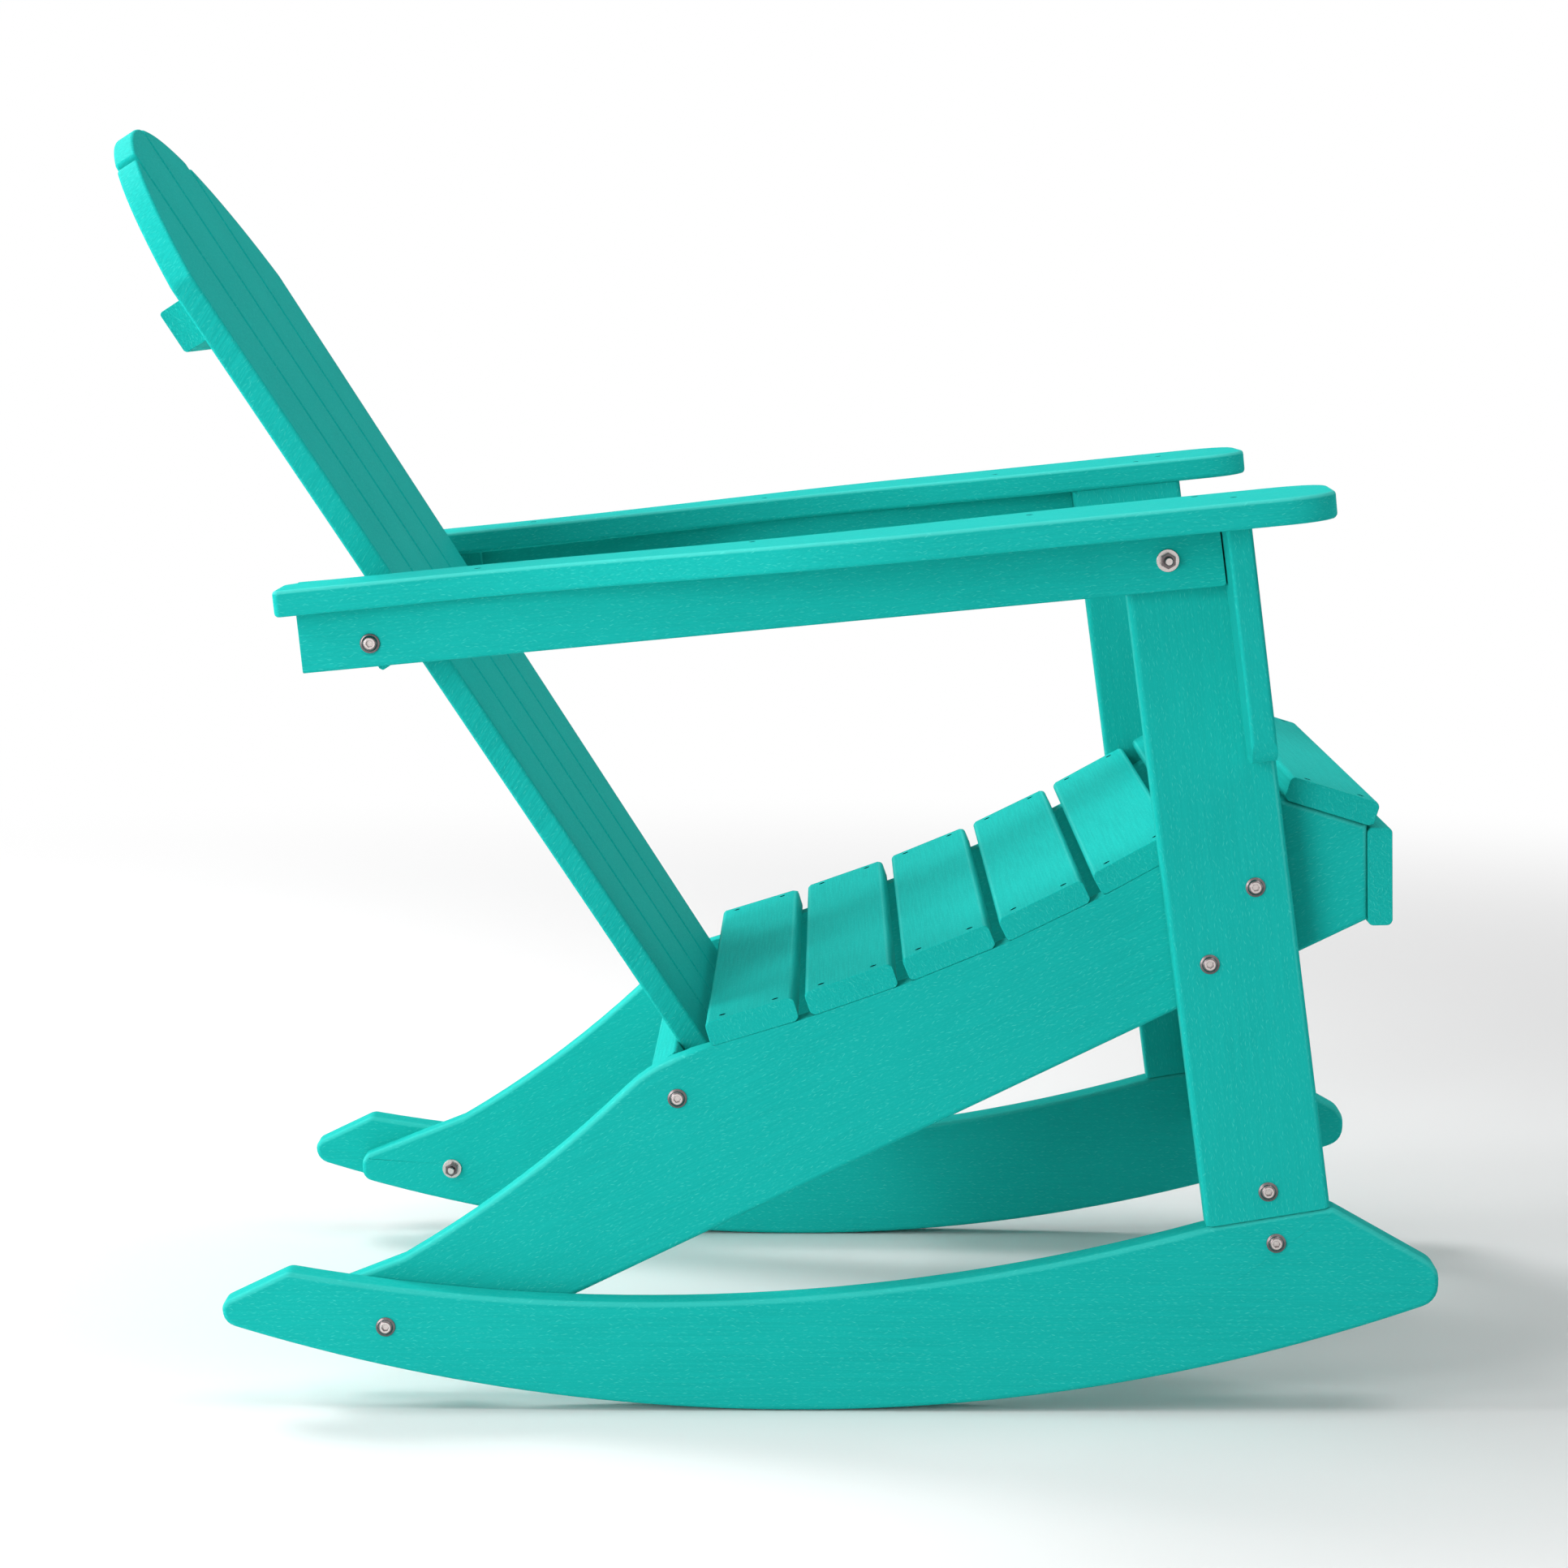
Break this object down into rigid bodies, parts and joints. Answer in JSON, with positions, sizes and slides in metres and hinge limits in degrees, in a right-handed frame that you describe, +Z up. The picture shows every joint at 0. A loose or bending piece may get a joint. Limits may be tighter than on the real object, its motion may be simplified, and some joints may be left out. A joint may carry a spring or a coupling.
{
  "type": "rocking adirondack chair",
  "caption": "Rocking adirondack chair of flat boards: fanned slat back under an arch, dished slat seat, wide armrests and curved rockers.",
  "frame": {"origin": "on the floor, at the bottom centre of the box round the whole chair, with the rockers level", "axes": "+Z up, +Y from the front apron towards the back, +X to the sitter's left"},
  "size_m": [0.7508, 0.9839, 0.9292],
  "materials": {
    "hdpe_lumber": "satin, with a fine streaked grain along each board",
    "stainless_steel": "bright bolt heads, nuts and screws"
  },
  "bodies": {
    "root": {"right_rocker": "hdpe_lumber", "left_rocker": "hdpe_lumber", "right_stringer": "hdpe_lumber", "left_stringer": "hdpe_lumber", "right_front_leg": "hdpe_lumber", "left_front_leg": "hdpe_lumber", "right_foot_cleat": "hdpe_lumber", "left_foot_cleat": "hdpe_lumber", "seat_slat_1": "hdpe_lumber", "seat_slat_2": "hdpe_lumber", "seat_slat_3": "hdpe_lumber", "seat_slat_4": "hdpe_lumber", "seat_slat_5": "hdpe_lumber", "seat_slat_6": "hdpe_lumber", "front_seat_slat": "hdpe_lumber", "front_apron": "hdpe_lumber", "back_slat_1": "hdpe_lumber", "back_slat_2": "hdpe_lumber", "back_slat_3": "hdpe_lumber", "back_slat_4": "hdpe_lumber", "lower_back_rail": "hdpe_lumber", "arm_back_rail": "hdpe_lumber", "upper_back_rail": "hdpe_lumber", "right_arm_rail": "hdpe_lumber", "left_arm_rail": "hdpe_lumber", "right_arm_cleat": "hdpe_lumber", "left_arm_cleat": "hdpe_lumber", "right_armrest": "hdpe_lumber", "left_armrest": "hdpe_lumber", "right_arm_bracket": "hdpe_lumber", "left_arm_bracket": "hdpe_lumber", "rocker_rear_bolts": "stainless_steel", "rocker_front_bolts": "stainless_steel", "leg_foot_bolts": "stainless_steel", "leg_stringer_bolts": "stainless_steel", "lower_rail_bolts": "stainless_steel", "arm_front_bolts": "stainless_steel", "arm_rear_bolts": "stainless_steel", "hex_nuts": "stainless_steel", "washers": "stainless_steel", "barrel_nuts": "stainless_steel", "seat_screws": "stainless_steel", "apron_screws": "stainless_steel", "back_screws": "stainless_steel", "armrest_screws": "stainless_steel", "bracket_screws": "stainless_steel", "cleat_screws": "stainless_steel"}
  },
  "joints": []
}
